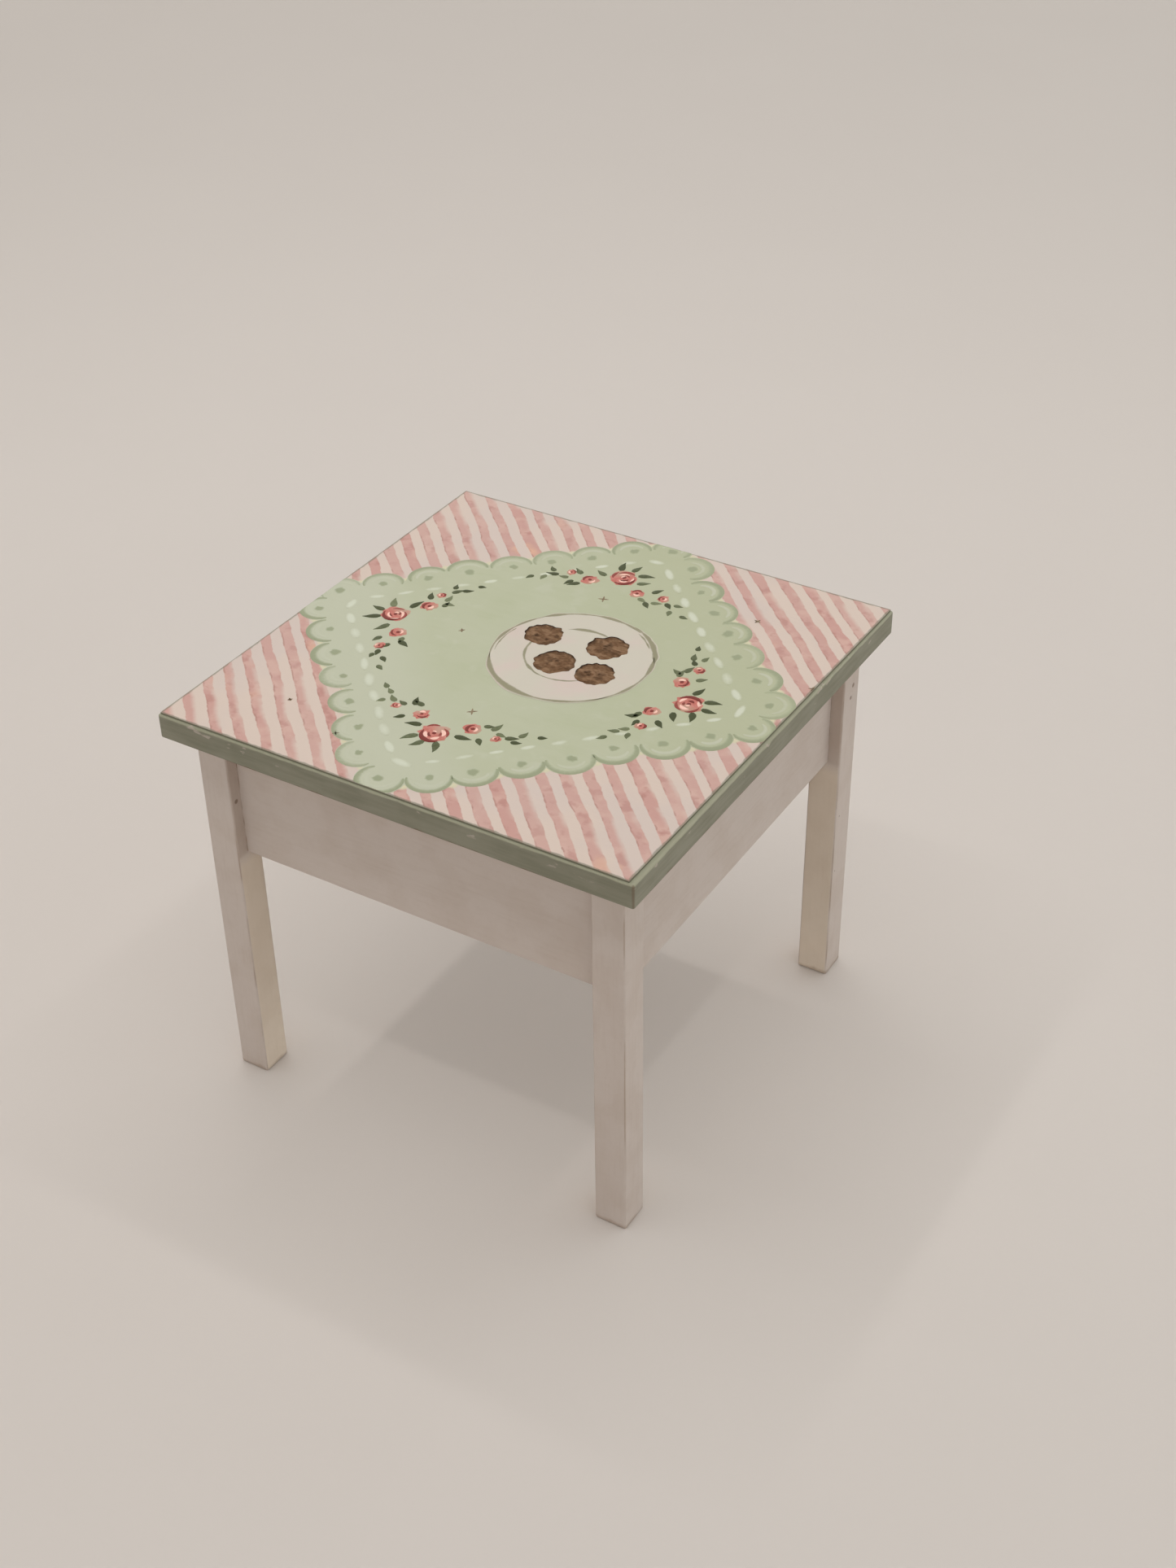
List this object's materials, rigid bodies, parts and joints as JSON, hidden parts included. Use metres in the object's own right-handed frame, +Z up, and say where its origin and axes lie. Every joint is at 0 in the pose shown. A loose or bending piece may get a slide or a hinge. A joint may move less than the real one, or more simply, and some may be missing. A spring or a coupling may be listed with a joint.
{
  "type": "miniature dining table",
  "caption": "Square dolls' house dining table with a decorated top on four straight legs joined by deep aprons.",
  "frame": {"origin": "on the floor, under the middle of the table", "axes": "+Z up out of the table's top, front towards -Y, right side towards +X"},
  "size_m": [0.075, 0.075, 0.065],
  "materials": {
    "decorated_facing": "painted in soft colours, satin varnish",
    "sage_paint": "sage-green paint, satin",
    "washed_wood": "thin off-white wash over wood, matt, worn at the edges"
  },
  "bodies": {
    "root": {"top_facing": "decorated_facing", "tabletop": "sage_paint", "leg_front_left": "washed_wood", "leg_front_right": "washed_wood", "leg_rear_right": "washed_wood", "leg_rear_left": "washed_wood", "apron_front": "washed_wood", "apron_right": "washed_wood", "apron_rear": "washed_wood", "apron_left": "washed_wood"}
  },
  "joints": []
}
